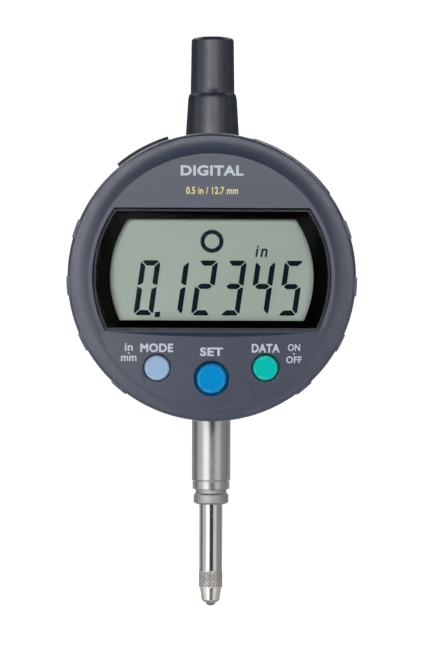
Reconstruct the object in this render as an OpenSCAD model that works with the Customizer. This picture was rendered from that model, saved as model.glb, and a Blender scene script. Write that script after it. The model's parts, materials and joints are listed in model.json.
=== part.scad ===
// Electronic plunger indicator with a turning display unit.
// Origin: middle of the stem's clamping length, on the spindle axis. +Z up, the display faces -Y.

/* [Display unit] */
// Outer diameter of the display housing, between its grip pads
display_d = 58; // [48:0.2:70]
// Wall of the display housing
display_wall = 2; // [1.4:0.1:2.4]
// Width of the sunken ring around the flat face
ring_w = 4.3; // [3:0.1:5]
// Depth of the sunken ring below the flat face
ring_drop = 1.4; // [0.8:0.1:1.8]
// How far a grip pad stands out of the rim
grip_proud = 0.2; // [0.1:0.1:0.6]
// Width of a grip pad, as an angle
grip_angle = 7.5; // [4:0.5:10]
// Angle between one grip pad and the next
grip_pitch = 23.2; // [18:0.1:24]
// Total angle that the display turns through
display_turn = 330; // [270:5:330]

/* [Window] */
// Width of flat face between the window and the ring, at the sides
window_margin = 0.8; // [0.6:0.1:2]
// Height of the window's upper edge above the display axis
window_up = 13.8; // [11:0.1:15]
// Depth of the window's lower edge below the display axis
window_down = 10.8; // [9:0.1:11]
// Thickness of the clear window
window_t = 1.2; // [0.8:0.1:1.5]
// Width of the black border around the liquid crystal display
mask_w = 2.9; // [2:0.1:3.4]

/* [Lower panel] */
// How far the crowned lower panel stands out of the flat face, on its centre line
panel_proud = 1.1; // [0.6:0.1:1.4]
// Radius of the panel's crown from side to side
panel_crown_r = 193; // [150:1:260]

/* [Buttons] */
// Diameter of the two side buttons
side_button_d = 4.92; // [4:0.02:5.4]
// Diameter of the middle button
mid_button_d = 5.8; // [5:0.1:6.4]
// Gap between a side button and its hole
side_button_gap = 0.4; // [0.2:0.05:0.6]
// Gap between the middle button and its hole
mid_button_gap = 0.7; // [0.3:0.05:0.8]
// Travel of a button
button_travel = 0.6; // [0.3:0.05:0.6]

/* [Case] */
// Outer diameter of the case behind the display
case_d = 54; // [50:0.5:66]
// Depth of the case from its front face to its rim
case_depth = 17.6; // [16:0.1:22]
// Wall of the case
case_wall = 2.5; // [2:0.1:3]
// Thickness of the back cover
cover_t = 2.6; // [2:0.1:4]
// Thickness of the lug on the back cover
lug_t = 5; // [4:0.1:7]
// Bore of the lug
lug_bore = 6.5; // [5:0.1:8]
// Distance from the cover to the lug's bore
lug_reach = 8; // [7:0.1:10]

/* [Stem and spindle] */
// Diameter of the stem
stem_d = 8; // [7.8:0.1:9.6]
// Length of the stem that can be clamped
stem_l = 12.9; // [11:0.1:16]
// Diameter of the spindle
spindle_d = 4.8; // [4:0.1:5.2]
// Travel of the spindle
travel = 12.7; // [10.5:0.1:15.3]
// Length of the contact point
point_l = 7.5; // [6:0.1:9]
// Diameter of the ball in the contact point
ball_d = 3; // [2:0.1:3.6]

/* [Upper end] */
// Diameter of the dust cap where it meets the neck
cap_d = 9.14; // [8.8:0.02:10.4]
// Length of the neck above the case
neck_l = 11.35; // [10:0.05:14]

/* [Battery] */
// Diameter of the button cell
cell_d = 11.6; // [9.5:0.1:12.5]
// Thickness of the button cell
cell_t = 5.4; // [3.6:0.1:5.4]

/* [Clearances] */
// Radial gap of a part that slides or turns
run_gap = 0.03; // [0.02:0.01:0.06]
// Gap around a part that drops into place
seat_gap = 0.05; // [0.04:0.01:0.1]

/* [Hidden] */
$fn = 96;
eps = 0.02;

// Stem, from the clamping length down to the contact point
stem_r = stem_d / 2;
spindle_r = spindle_d / 2;
bush_wall = 0.6;
bush_r = spindle_r + bush_wall;
step_l = 1.9;
step_drop = 0.16;
groove_l = 0.75;
groove_r = spindle_r + 0.82;
collar_l = 2.3;
collar_r = spindle_r + 1.22;
collar_chamfer = 0.35;
tip_gap = 1.1;
point_thread_r = 1.25;
point_thread_l = 5;
point_bore_l = 6;
grip_z0 = -stem_l / 2;
step_z = grip_z0 - step_l;
groove_z = step_z - groove_l;
collar_z = groove_z - collar_l;
seam_z = collar_z - travel - tip_gap;
tip_z = seam_z - point_l;

// Case
case_r = case_d / 2;
case_in_r = case_r - case_wall;
case_collar_l = 2;
stem_root_r = stem_r + 0.3;
case_collar_r = stem_root_r + 1.9;
axis_z = stem_l / 2 + case_collar_l + case_r;
case_y0 = -8.8;
case_y1 = case_y0 + case_depth;
case_floor_y = case_y0 + case_wall;
gasket_t = 0.4;
cover_y0 = case_y1 + gasket_t;
cover_y1 = cover_y0 + cover_t;
floor_z = axis_z - case_in_r;
roof_z = axis_z + case_in_r;
inner_boss_l = 4;
stem_top_z = floor_z + inner_boss_l;
bumper_t = 1.5;
rest_gap = 0.05;
carrier_z0 = stem_top_z + bumper_t + rest_gap;
roof_boss_l = 3;
seat_z = roof_z - roof_boss_l;
neck_top_z = axis_z + case_r + neck_l;
neck_taper = 0.058;
neck_top_r = cap_d / 2 + 0.51;
neck_chamfer = 0.23;
cover_screw_r = case_in_r - 1.9;
cover_screw_angles = [60, 120, 240, 300];
cover_post_r = 2.2;

// Upper end of the spindle and its cap
cap_l = travel - 0.85;
cap_top_z = neck_top_z + cap_l;
cap_draft = 0.16;
cap_round = 0.9;
cap_roof = 1;
cap_plug_l = 4;
cap_plug_r = bush_r + 0.7;
cap_bore_r = cap_plug_r - 0.5;
spindle_top_z = cap_top_z - cap_roof - travel - 0.75;
upper_bush_z1 = neck_top_z - cap_plug_l - 0.4;
upper_bush_z0 = seat_z;

// Carrier, scale, spring and guide
carrier_l = 12;
carrier_w = spindle_d + 4.2;
carrier_screw_z = [carrier_z0 + 2.5, carrier_z0 + carrier_l - 2.5];
carrier_y = spindle_r + 1.2;
back_t = 0.8;
scale_t = 0.8;
scale_w = 6;
scale_l = seat_z - carrier_z0 - travel - 0.75;
scale_y0 = carrier_y + back_t;
sensor_gap = 0.4;
sensor_y = scale_y0 + scale_t + sensor_gap;
sensor_t = 1.2;
sensor_w = 24;
sensor_up = 14.4;
sensor_down = 11.6;
sensor_post_r = 1.6;
sensor_posts = [[-10, 11.4], [10, 11.4], [-10, -9.6]];
spring_wire = 0.5;
spring_turns = 11;
spring_mid_r = spindle_r + 0.7;
pin_r = 0.8;
pin_z = carrier_z0 + carrier_l / 2;
guide_x0 = 10.6;
guide_t = 1.4;
guide_y1 = 3.5;
guide_z0 = pin_z - pin_r - 2;
guide_z1 = pin_z + travel + pin_r + 2;
guide_l = guide_z1 - guide_z0;
guide_foot_w = 4.4;
foot_t = 1.2;
guide_screw_x = guide_x0 + guide_t + guide_foot_w / 2;
guide_screw_z = [guide_z0 + 3, guide_z1 - 3];

// Hub that the display turns on
hub_r = 8;
hub_in_r = 5;
hub_gap = 0.05;
ring_t = 1;
hub_ring_r = 10;
washer_t = 0.4;
washer_r = 10.2;
stop_r = 11.8;
stop_pin_r = 0.6;
stop_pin_l = 1.6;
stop_slot_w = 0.1;
o_ring_r = 0.38;
o_ring_y = case_y0 + 1.3;
o_ring_out_r = hub_r + run_gap - 0.01;
hub_screw_r = 6.5;
hub_screw_angles = [60, 180, 300];
hub_thread_r = 0.5;
hub_thread_l = 3;

// Display unit, from its back to its face
rim_r = display_d / 2;
inner_r = rim_r - display_wall;
shell_y1 = case_y0 - washer_t;
shell_t = 1.2;
shell_y0 = shell_y1 - shell_t;
board_t = 1.2;
contact_t = 0.3;
board_y1 = shell_y0 - cell_t - 2 * contact_t;
board_y0 = board_y1 - board_t;
lcd_stack = 4;
wall_y = board_y0 - lcd_stack;
face_t = 2.4;
face_y = wall_y - face_t;
ring_y = face_y + ring_drop;
face_edge_r = rim_r - 0.65;
flat_r = rim_r - ring_w;
cove_mid_r = face_edge_r - 0.15;
cove_r = (pow(cove_mid_r - flat_r, 2) + pow(ring_drop, 2)) / (2 * ring_drop);
rim_round = 1.3;
grip_r = rim_r + grip_proud;
grip_first = 70.5;
grips_a_side = 4;
grip_y0 = ring_y + 0.35;
grip_y1 = shell_y0 - 1;

// Window, mask and display glass
window_r = flat_r - window_margin;
window_sink = 0.2;
window_y0 = face_y + window_sink;
window_y1 = window_y0 + window_t;
mask_t = 0.15;
bevel = 0.6;
mask_y1 = window_y1 + mask_t;
view_r = window_r - bevel - mask_w;
view_up = window_up - bevel - 1.6;
view_down = window_down - bevel - 1.5;
ledge = 1.2;
glass_x = view_r + 0.4;
glass_up = view_up + 0.7;
glass_down = view_down + 0.7;
glass_t = 2;
glass_y0 = wall_y + 0.2;
glass_y1 = glass_y0 + glass_t;
frame_wall = 0.8;
zebra_w = 1.6;
reflector_t = 0.2;

// Lower panel
panel_top = window_down + 0.2;
panel_y = face_y - panel_proud;
panel_fall = 2.3;
panel_tilt = atan(panel_fall / (rim_r - panel_top));

// Buttons: each has its place across and up from the display axis, its diameter and its gap
mode_spec = [-10.9, -18.2, side_button_d, side_button_gap];
set_spec = [0, -20.3, mid_button_d, mid_button_gap];
data_spec = [10.8, -18.1, side_button_d, side_button_gap];
button_specs = [mode_spec, set_spec, data_spec];
button_y = face_y - 0.3;
flange_extra = 0.5;
flange_t = 0.7;
dome_t = 0.7;
dome_r = 2;
plunger_r = 1.3;
dome_gap = 0.1;
plunger_y = board_y0 - dome_t - button_travel - dome_gap;

// Battery, connector and their covers; angles are from the top, clockwise seen from the front
pocket_gap = 0.1;
cell_r = cell_d / 2;
cell_angle = 35.35;
cell_mid_r = inner_r - cell_r - 0.6;
cell_cap_half = 19.05;
cell_cap_proud = 0.5;
plug_angle = -28.75;
plug_half = 11.25;
plug_proud = 1;
plug_w = 8;
plug_h = 4.6;
plug_l = 6.65;
plug_wall = 0.9;
plug_socket_l = 3.7;
plug_gap = 0.05;
plug_face = sqrt(pow(inner_r - plug_gap, 2) - pow(plug_w / 2, 2));
plug_y0 = board_y1;
plug_y1 = shell_y0 - 0.6;

// Screws
post_r = 1.9;
post_mid_r = inner_r - 1.7;
post_angles = [0, 127, -127];
board_posts = [[0, 18.5], [-17, -14.5], [17, -14.5]];
board_post_r = 1.6;
board_r = inner_r - 3;
thread_r = 0.7;

// Places a child in the display's own plane: x across, y up the face, z towards the viewer from y = 0
module on_face(y) { translate([0, y, axis_z]) rotate([90, 0, 0]) children(); }

// A disc or tube about the display axis, from y0 (front) to y1 (back)
module disc(r, y0, y1, x = 0, z = 0) {
  translate([x, y1, axis_z + z]) rotate([90, 0, 0]) cylinder(r = r, h = y1 - y0);
}

// A cone about an axis parallel to the display axis: r0 at the front, r1 at the back
module taper_disc(r0, r1, y0, y1, x = 0, z = 0) {
  translate([x, y1, axis_z + z]) rotate([90, 0, 0]) cylinder(r1 = r1, r2 = r0, h = y1 - y0);
}

// A pie slice of the display plane around an angle measured from the top
module wedge(angle, half, r, y0, y1) {
  far = r / cos(half) * 1.1;
  rows = [for (k = [-1, 1]) [far * sin(angle + k * half), far * cos(angle + k * half)]];
  on_face(y1) linear_extrude(y1 - y0) polygon([[0, 0], rows[0], rows[1]]);
}

// A piece of the rim: between two radii, two depths and around an angle
module rim_block(angle, half, r0, r1, y0, y1) {
  intersection() {
    difference() {
      disc(r1, y0, y1);
      disc(r0, y0 - 1, y1 + 1);
    }
    wedge(angle, half, r1, y0 - 1, y1 + 1);
  }
}

// A circle cut by an upper and a lower line, in the display plane
module cut_circle(r, up, down) {
  intersection() {
    circle(r = r, $fn = 160);
    translate([-r - 1, -down]) square([2 * r + 2, up + down]);
  }
}

// A vertical tube about the spindle axis
module tube(r_out, r_in, z0, z1) {
  difference() {
    translate([0, 0, z0]) cylinder(r = r_out, h = z1 - z0);
    translate([0, 0, z0 - 1]) cylinder(r = r_in, h = z1 - z0 + 2);
  }
}

// A screw along Y: pan head towards side, slot in the head, shank the other way
module pan_screw(x, y, z, side, head_r, head_t, shank_r, shank_l) {
  translate([x, y, z]) rotate([side > 0 ? -90 : 90, 0, 0]) difference() {
    union() {
      cylinder(r = head_r, h = head_t);
      translate([0, 0, -shank_l]) cylinder(r = shank_r, h = shank_l + eps);
    }
    translate([-head_r, -head_r * 0.14, head_t * 0.5]) cube([2 * head_r, head_r * 0.28, head_t]);
    translate([-head_r * 0.14, -head_r, head_t * 0.5]) cube([head_r * 0.28, 2 * head_r, head_t]);
  }
}

function on_circle(r, a) = [r * sin(a), r * cos(a)];

// ---- case ----

module neck_shape() {
  base_r = neck_top_r + neck_taper * (neck_l + case_wall);
  translate([0, 0, roof_z]) cylinder(r1 = base_r, r2 = neck_top_r, h = neck_top_z - 1 - roof_z);
  translate([0, 0, neck_top_z - 1]) cylinder(r1 = neck_top_r, r2 = neck_top_r - neck_chamfer, h = 1);
}

module main_case() color([0.23, 0.24, 0.27]) difference() {
  union() {
    difference() {
      union() {
        disc(case_r, case_y0, case_y1);
        translate([0, 0, axis_z - case_r - case_collar_l])
          cylinder(r = case_collar_r, h = case_collar_l + case_wall);
        neck_shape();
      }
      disc(case_in_r, case_floor_y, case_y1 + 1);
    }
    translate([0, 0, floor_z - 1]) cylinder(r = case_collar_r - 0.6, h = inner_boss_l + 1);
    translate([0, 0, seat_z]) cylinder(r = bush_r + 2, h = roof_boss_l + 1);
    intersection() {
      disc(case_r - 0.5, case_y0, case_y1);
      for (a = cover_screw_angles) {
        p = on_circle(cover_screw_r, a + 90);
        disc(cover_post_r, case_floor_y - 1, case_y1, p[0], p[1]);
      }
    }
    for (p = sensor_posts) disc(sensor_post_r, case_floor_y - 1, sensor_y, p[0], p[1]);
  }
  translate([0, 0, stem_l / 2 - 1]) cylinder(r = stem_root_r, h = stem_top_z);
  translate([0, 0, seat_z - 1]) cylinder(r = bush_r, h = neck_top_z - seat_z);
  translate([0, 0, neck_top_z - cap_plug_l]) cylinder(r = cap_plug_r + run_gap, h = cap_plug_l + 1);
  disc(hub_r + run_gap, case_y0 - 1, case_floor_y + 1);
  disc(stop_pin_r, case_y0 - 1, case_floor_y + 1, 0, -stop_r);
  for (a = cover_screw_angles) {
    p = on_circle(cover_screw_r, a + 90);
    disc(thread_r, case_y1 - 6, case_y1 + 1, p[0], p[1]);
  }
  for (p = sensor_posts) disc(thread_r, sensor_y - 4, sensor_y + 1, p[0], p[1]);
  for (z = guide_screw_z) disc(thread_r, case_floor_y - 1.8, case_floor_y + 1, guide_screw_x, z - axis_z);
}

module stem() color([0.72, 0.72, 0.7]) difference() {
  union() {
    translate([0, 0, stem_l / 2]) cylinder(r = stem_root_r, h = stem_top_z - stem_l / 2);
    translate([0, 0, grip_z0]) cylinder(r = stem_r, h = stem_l);
    translate([0, 0, step_z]) cylinder(r = stem_r - step_drop, h = step_l);
  }
  translate([0, 0, step_z - 1]) cylinder(r = bush_r, h = stem_top_z - step_z + 2);
}

module lower_bush() color([0.7, 0.69, 0.66]) rotate_extrude() {
  bore = spindle_r + run_gap;
  polygon([[bore, collar_z], [collar_r - collar_chamfer, collar_z], [collar_r, collar_z + collar_chamfer],
    [collar_r, groove_z - collar_chamfer], [collar_r - collar_chamfer, groove_z], [groove_r, groove_z],
    [groove_r, step_z], [bush_r, step_z], [bush_r, stem_l / 2], [bore, stem_l / 2]]);
}

module upper_bush() color([0.72, 0.56, 0.3]) tube(bush_r, spindle_r + run_gap, upper_bush_z0, upper_bush_z1);

module rest_bumper() color([0.1, 0.1, 0.1])
  tube(stem_root_r, spindle_r + 0.5, stem_top_z, stem_top_z + bumper_t);

module thrust_washer() color([0.85, 0.84, 0.78]) difference() {
  disc(washer_r, shell_y1, case_y0);
  disc(hub_r + 0.15, shell_y1 - 1, case_y0 + 1);
}

module stop_pin() color([0.7, 0.7, 0.7]) disc(stop_pin_r, case_y0 - stop_pin_l, case_floor_y, 0, -stop_r);

module detector_board() color([0.1, 0.35, 0.2]) difference() {
  translate([-sensor_w / 2, sensor_y, axis_z - sensor_down])
    cube([sensor_w, sensor_t, sensor_up + sensor_down]);
  for (p = sensor_posts) disc(thread_r + 0.1, sensor_y - 1, sensor_y + sensor_t + 1, p[0], p[1]);
}

module detector_chip() color([0.08, 0.08, 0.09])
  translate([-3.5, sensor_y + sensor_t, axis_z - 3.5]) cube([7, 1, 7]);

module detector_screws() color([0.65, 0.65, 0.62]) for (p = sensor_posts)
  pan_screw(p[0], sensor_y + sensor_t, axis_z + p[1], 1, 1.3, 0.8, thread_r, 3.4);

module guide_plate() color([0.6, 0.6, 0.58]) difference() {
  union() {
    translate([guide_x0, case_floor_y, guide_z0]) cube([guide_t, guide_y1 - case_floor_y, guide_l]);
    translate([guide_x0, case_floor_y, guide_z0]) cube([guide_t + guide_foot_w, foot_t, guide_l]);
  }
  translate([guide_x0 - 1, -pin_r - run_gap, pin_z - pin_r - 0.3])
    cube([guide_t + 2, 2 * (pin_r + run_gap), travel + 2 * pin_r + 0.6]);
  for (z = guide_screw_z)
    disc(thread_r + 0.1, case_floor_y - 1, case_floor_y + foot_t + 1, guide_screw_x, z - axis_z);
}

module guide_screws() color([0.65, 0.65, 0.62]) for (z = guide_screw_z)
  pan_screw(guide_screw_x, case_floor_y + foot_t, z, 1, 1.3, 0.8, thread_r, 2.6);

// The ribbon runs back through the hub, past the spindle and on to the detector board
module ribbon_cable() color([0.75, 0.5, 0.15]) {
  ribbon_t = 0.15;
  ribbon_w = 4;
  turn_y = case_floor_y + hub_gap + ring_t + 0.8 + 0.2;
  side_x = -carrier_w / 2 - 3;
  z0 = axis_z - ribbon_w / 2;
  translate([0, shell_y0 - 3, z0]) cube([ribbon_t, turn_y + ribbon_t - shell_y0 + 3, ribbon_w]);
  translate([side_x, turn_y, z0]) cube([ribbon_t - side_x, ribbon_t, ribbon_w]);
  translate([side_x, turn_y, z0]) cube([ribbon_t, sensor_y - turn_y, ribbon_w]);
}

module case_gasket() color([0.1, 0.1, 0.1]) difference() {
  disc(case_r - 0.4, case_y1, cover_y0);
  disc(case_in_r - 0.2, case_y1 - 1, cover_y0 + 1);
}

module back_cover() color([0.2, 0.21, 0.23]) {
  pad_t = 1;
  pad_r = 10;
  lug_r = lug_bore / 2 + 3.25;
  lug_y = cover_y1 + lug_reach;
  difference() {
    union() {
      disc(case_r, cover_y0, cover_y1);
      disc(pad_r, cover_y0, cover_y1 + pad_t);
      translate([-lug_t / 2, lug_y, axis_z]) rotate([0, 90, 0]) cylinder(r = lug_r, h = lug_t);
      translate([-lug_t / 2, cover_y0 + 1, axis_z - lug_r]) cube([lug_t, lug_y - cover_y0 - 1, 2 * lug_r]);
    }
    translate([-lug_t, lug_y, axis_z]) rotate([0, 90, 0]) cylinder(r = lug_bore / 2, h = 2 * lug_t);
    for (a = cover_screw_angles) {
      p = on_circle(cover_screw_r, a + 90);
      disc(thread_r + 0.15, cover_y0 - 1, cover_y1 + 1, p[0], p[1]);
    }
  }
}

module cover_screws() color([0.65, 0.65, 0.62]) for (a = cover_screw_angles) {
  p = on_circle(cover_screw_r, a + 90);
  pan_screw(p[0], cover_y1, axis_z + p[1], 1, 1.5, 0.9, thread_r, cover_t + gasket_t + 4);
}

// Height of the spring's wire after t turns: the end turns lie close, the others share the rest
function wire_rise(t, height) = t < 1 ? spring_wire * t
  : t > spring_turns - 1 ? height - spring_wire * (spring_turns - t)
  : spring_wire + (height - 2 * spring_wire) * (t - 1) / (spring_turns - 2);

// Round wire wound on a helix between the carrier and the roof of the case
module return_spring() color([0.75, 0.75, 0.75]) {
  z0 = carrier_z0 + carrier_l + spring_wire / 2;
  z1 = seat_z - spring_wire / 2;
  per_turn = 18;
  sides = 6;
  steps = spring_turns * per_turn;
  rows = [for (i = [0 : steps]) for (k = [0 : sides - 1])
    let (t = i / per_turn, a = 360 * t, b = 360 * k / sides)
    let (r = spring_mid_r + spring_wire / 2 * cos(b))
    [r * cos(a), r * sin(a), z0 + wire_rise(t, z1 - z0) + spring_wire / 2 * sin(b)]];
  walls = [for (i = [0 : steps - 1]) for (k = [0 : sides - 1])
    let (n = (k + 1) % sides)
    [i * sides + k, i * sides + n, (i + 1) * sides + n, (i + 1) * sides + k]];
  ends = [[for (k = [0 : sides - 1]) sides - 1 - k], [for (k = [0 : sides - 1]) steps * sides + k]];
  polyhedron(points = rows, faces = concat(walls, ends), convexity = 20);
}

// ---- spindle ----

module spindle() color([0.74, 0.73, 0.71]) difference() {
  translate([0, 0, seam_z]) cylinder(r = spindle_r, h = spindle_top_z - seam_z);
  translate([0, 0, seam_z - 1]) cylinder(r = point_thread_r, h = point_bore_l + 1);
}

module contact_point() color([0.7, 0.66, 0.6]) difference() {
  knurl_r = spindle_r + 0.1;
  knurl_l = point_l * 0.48;
  cone_r = ball_d * 0.66;
  cone_z = tip_z + point_l * 0.2;
  ball_z = tip_z + ball_d / 2;
  union() {
    translate([0, 0, seam_z - knurl_l]) cylinder(r = knurl_r, h = knurl_l);
    translate([0, 0, cone_z]) cylinder(r1 = cone_r, r2 = knurl_r, h = seam_z - knurl_l - cone_z);
    translate([0, 0, tip_z + 0.55])
      cylinder(r1 = ball_d * 0.47, r2 = cone_r, h = cone_z - tip_z - 0.55);
    translate([0, 0, seam_z - eps]) cylinder(r = point_thread_r, h = point_thread_l);
  }
  translate([0, 0, ball_z]) sphere(r = ball_d / 2);
}

module contact_ball() color([0.6, 0.58, 0.55]) translate([0, 0, tip_z + ball_d / 2]) sphere(r = ball_d / 2);

module scale_carrier() color([0.8, 0.8, 0.78]) difference() {
  union() {
    translate([-carrier_w / 2, -carrier_y, carrier_z0]) cube([carrier_w, 2 * carrier_y, carrier_l]);
    translate([-scale_w / 2 - 0.3, carrier_y - eps, carrier_z0])
      cube([scale_w + 0.6, back_t + eps, scale_l]);
  }
  translate([0, 0, carrier_z0 - 1]) cylinder(r = spindle_r, h = carrier_l + 2);
  translate([0, 0, pin_z]) rotate([0, 90, 0]) cylinder(r = pin_r, h = carrier_w);
  for (z = carrier_screw_z) translate([0, 0, z]) rotate([0, -90, 0]) cylinder(r = thread_r, h = carrier_w);
}

module linear_scale() color([0.75, 0.6, 0.3])
  translate([-scale_w / 2, scale_y0, carrier_z0]) cube([scale_w, scale_t, scale_l]);

module guide_pin() color([0.7, 0.7, 0.7]) translate([spindle_r, 0, pin_z]) rotate([0, 90, 0])
  cylinder(r = pin_r, h = guide_x0 + guide_t + 0.5 - spindle_r);

module carrier_screws() color([0.4, 0.4, 0.4]) for (z = carrier_screw_z) difference() {
  translate([-carrier_w / 2, 0, z]) rotate([0, 90, 0])
    cylinder(r = thread_r, h = carrier_w / 2 - spindle_r);
  translate([-carrier_w / 2 - 0.5, -thread_r, z - 0.12]) cube([0.9, 2 * thread_r, 0.24]);
}

module dust_cap() color([0.22, 0.23, 0.27]) difference() {
  cap_r = cap_d / 2;
  top_r = cap_r - cap_draft;
  union() {
    translate([0, 0, neck_top_z]) cylinder(r1 = cap_r, r2 = top_r, h = cap_l - cap_round);
    translate([0, 0, cap_top_z - cap_round]) rotate_extrude() intersection() {
      union() {
        square([top_r - cap_round, cap_round]);
        translate([top_r - cap_round, 0]) circle(r = cap_round, $fn = 48);
      }
      square([top_r, cap_round]);
    }
    translate([0, 0, neck_top_z - cap_plug_l + 0.2]) cylinder(r = cap_plug_r, h = cap_plug_l);
  }
  translate([0, 0, neck_top_z - cap_plug_l - 1])
    cylinder(r = cap_bore_r, h = cap_top_z - cap_roof - neck_top_z + cap_plug_l + 1);
}

// ---- display ----

// Rim, cove and edge of the housing as one solid of revolution, tall enough for the lower panel
module cove_body() difference() {
  on_face(shell_y0) rotate_extrude() {
    depth = shell_y0 - ring_y;
    square([rim_r, depth - rim_round]);
    square([face_edge_r, depth + 3]);
    intersection() {
      square([rim_r, depth]);
      translate([rim_r - rim_round, depth - rim_round]) circle(r = rim_round, $fn = 48);
    }
  }
  on_face(ring_y - cove_r) rotate_extrude() translate([cove_mid_r, 0]) circle(r = cove_r, $fn = 128);
}

// The crowned panel: a large cylinder, leaning back towards the bottom of the rim
module panel_body() intersection() {
  translate([0, panel_y, axis_z - panel_top]) rotate([panel_tilt, 0, 0])
    translate([0, panel_crown_r, -rim_r]) cylinder(r = panel_crown_r, h = 2 * rim_r, $fn = 1440);
  translate([0, face_y, axis_z - panel_top]) rotate([45, 0, 0])
    translate([-rim_r, -rim_r, -2 * rim_r]) cube([2 * rim_r, 3 * rim_r, 2 * rim_r]);
}

module window_pocket() {
  on_face(mask_y1) linear_extrude(4)
    cut_circle(window_r + seat_gap, window_up + seat_gap, window_down + seat_gap);
  on_face(wall_y + 1) linear_extrude(4)
    cut_circle(window_r - ledge, window_up - ledge, window_down - ledge);
}

module front_housing() color([0.4, 0.41, 0.45]) difference() {
  union() {
    difference() {
      union() {
        intersection() {
          cove_body();
          union() {
            translate([-rim_r, face_y, axis_z - panel_top]) cube([2 * rim_r, 40, 2 * rim_r]);
            panel_body();
          }
        }
        for (side = [-1, 1]) for (k = [0 : grips_a_side - 1])
          rim_block(side * (grip_first + k * grip_pitch), grip_angle / 2,
            inner_r + 0.5, grip_r, grip_y0, grip_y1);
      }
      disc(inner_r, wall_y, shell_y0 + 1);
    }
    for (a = post_angles) {
      p = on_circle(post_mid_r, a);
      disc(post_r, wall_y - 0.5, shell_y0, p[0], p[1]);
    }
    for (p = board_posts) disc(board_post_r, wall_y - 0.5, board_y0, p[0], p[1]);
  }
  window_pocket();
  for (b = button_specs) disc(b[2] / 2 + b[3], face_y - 3, wall_y + 1, b[0], b[1]);
  for (a = post_angles) {
    p = on_circle(post_mid_r, a);
    disc(thread_r, shell_y0 - 5, shell_y0 + 1, p[0], p[1]);
  }
  for (p = board_posts) disc(thread_r, board_y0 - 3, board_y0 + 1, p[0], p[1]);
  rim_block(cell_angle, cell_cap_half + 0.2, inner_r - 1, rim_r + 1,
    board_y1 - pocket_gap, shell_y0 - 0.4 + pocket_gap);
  rim_block(plug_angle, plug_half + 0.2, inner_r - 1, rim_r + 1, plug_y0 - pocket_gap, plug_y1 + pocket_gap);
}

module rear_shell() color([0.2, 0.21, 0.23]) difference() {
  union() {
    disc(rim_r - 0.3, shell_y0, shell_y1);
    disc(stop_r + 1.5, shell_y0 - 1.4, shell_y1 - eps);
    disc(hub_r, shell_y0, case_floor_y + hub_gap);
  }
  disc(hub_in_r, shell_y0 - 3, case_floor_y + 1);
  difference() {
    disc(stop_r - 1.5, shell_y0 - 3, shell_y0);
    disc(hub_in_r, shell_y0 - 4, shell_y0 + 1);
  }
  difference() {
    disc(stop_r + stop_pin_r + stop_slot_w, shell_y1 - stop_pin_l - 0.1, shell_y1 + 1);
    disc(stop_r - stop_pin_r - stop_slot_w, shell_y1 - stop_pin_l - 1, shell_y1 + 2);
    wedge(0, 180 - display_turn / 2 - asin(stop_pin_r / stop_r) - 0.3, stop_r + 2,
      shell_y1 - stop_pin_l - 1, shell_y1 + 2);
  }
  difference() {
    disc(hub_r + 1, o_ring_y - o_ring_r - 0.05, o_ring_y + o_ring_r + 0.05);
    disc(o_ring_out_r - 2 * o_ring_r, o_ring_y - 1, o_ring_y + 1);
  }
  for (a = post_angles) {
    p = on_circle(post_mid_r, a);
    disc(thread_r + 0.1, shell_y0 - 1, shell_y1 + 1, p[0], p[1]);
    taper_disc(thread_r + 0.1, 1.55, shell_y1 - 0.8, shell_y1, p[0], p[1]);
  }
  for (a = hub_screw_angles) {
    p = on_circle(hub_screw_r, a);
    disc(hub_thread_r, case_floor_y - hub_thread_l, case_floor_y + 1, p[0], p[1]);
  }
}

module hub_ring() color([0.7, 0.7, 0.68]) difference() {
  disc(hub_ring_r, case_floor_y + hub_gap, case_floor_y + hub_gap + ring_t);
  disc(hub_in_r, case_floor_y, case_floor_y + 2);
  for (a = hub_screw_angles) {
    p = on_circle(hub_screw_r, a);
    disc(hub_thread_r + 0.1, case_floor_y, case_floor_y + 2, p[0], p[1]);
  }
}

module hub_screws() color([0.65, 0.65, 0.62]) for (a = hub_screw_angles) {
  p = on_circle(hub_screw_r, a);
  pan_screw(p[0], case_floor_y + hub_gap + ring_t, axis_z + p[1], 1, 1, 0.6, hub_thread_r, hub_thread_l);
}

module hub_o_ring() color([0.08, 0.08, 0.08]) on_face(o_ring_y) rotate_extrude()
  translate([o_ring_out_r - o_ring_r, 0]) circle(r = o_ring_r, $fn = 24);

module housing_screws() color([0.5, 0.5, 0.5]) for (a = post_angles) {
  p = on_circle(post_mid_r, a);
  difference() {
    union() {
      taper_disc(thread_r, 1.5, shell_y1 - 0.75, shell_y1 - 0.05, p[0], p[1]);
      disc(thread_r, shell_y0 - 4, shell_y1 - 0.7, p[0], p[1]);
    }
    translate([p[0] - 0.9, shell_y1 - 0.35, axis_z + p[1] - 0.15]) cube([1.8, 1, 0.3]);
    translate([p[0] - 0.15, shell_y1 - 0.35, axis_z + p[1] - 0.9]) cube([0.3, 1, 1.8]);
  }
}

module window_lens() color([0.8, 0.85, 0.85], 0.4) {
  side = 0.35;
  on_face(window_y1) linear_extrude(window_t - side) cut_circle(window_r, window_up, window_down);
  on_face(window_y0 + side) linear_extrude(side)
    cut_circle(window_r - side, window_up - side, window_down - side);
}

module window_mask() color([0.02, 0.02, 0.02]) on_face(mask_y1) linear_extrude(mask_t) difference() {
  cut_circle(window_r - bevel, window_up - bevel, window_down - bevel);
  cut_circle(view_r, view_up, view_down);
}

module lcd_frame() color([0.85, 0.85, 0.82]) {
  gap = seat_gap;
  outer_x = glass_x + frame_wall;
  difference() {
    translate([-outer_x, wall_y, axis_z - glass_down - frame_wall])
      cube([2 * outer_x, lcd_stack, glass_up + glass_down + 2 * frame_wall]);
    translate([-glass_x - gap, glass_y0, axis_z - glass_down - gap])
      cube([2 * (glass_x + gap), 10, glass_up + glass_down + 2 * gap]);
    translate([-glass_x + 0.2, wall_y - 1, axis_z - glass_down + 0.2])
      cube([2 * glass_x - 0.4, 10, glass_up + glass_down - 0.4]);
  }
}

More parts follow.
